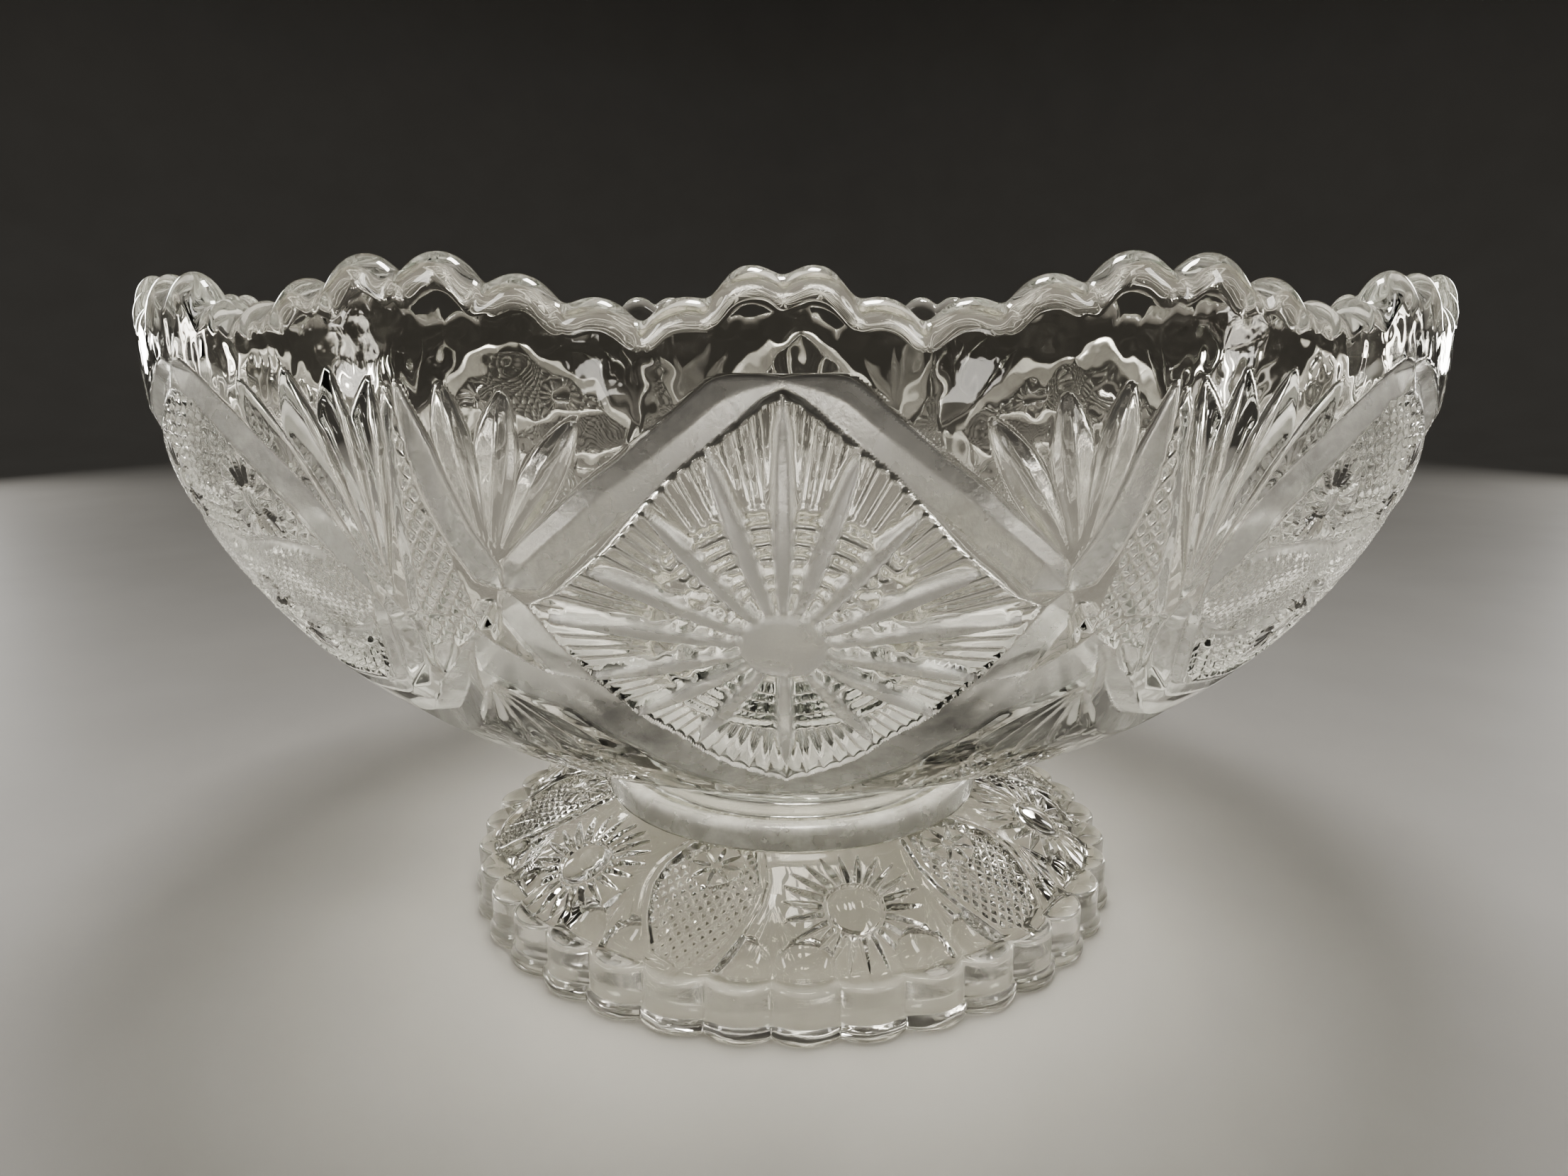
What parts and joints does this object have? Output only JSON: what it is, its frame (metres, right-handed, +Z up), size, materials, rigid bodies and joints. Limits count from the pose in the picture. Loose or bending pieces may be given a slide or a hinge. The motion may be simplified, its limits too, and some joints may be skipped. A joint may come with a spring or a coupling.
{
  "type": "punch bowl",
  "caption": "Footed clear pressed-glass punch bowl with a scalloped rim, standing in the seat of its own low scalloped glass stand.",
  "frame": {"origin": "centre of the face that the stand rests on", "axes": "+Z up along the shared axis of the bowl and the stand; -Y towards the middle of one of the rim's narrow lobes"},
  "size_m": [0.332, 0.332, 0.1798],
  "materials": {
    "bowl_glass": "fire-polished clear pressed glass",
    "stand_glass": "fire-polished clear pressed glass"
  },
  "bodies": {
    "stand": {"stand": "stand_glass"},
    "bowl": {"bowl": "bowl_glass"}
  },
  "joints": [
    {"name": "bowl_lift", "type": "slide", "parent": "stand", "child": "bowl", "axis": [0, 0, 1], "range_m": [0, 0.08]}
  ]
}
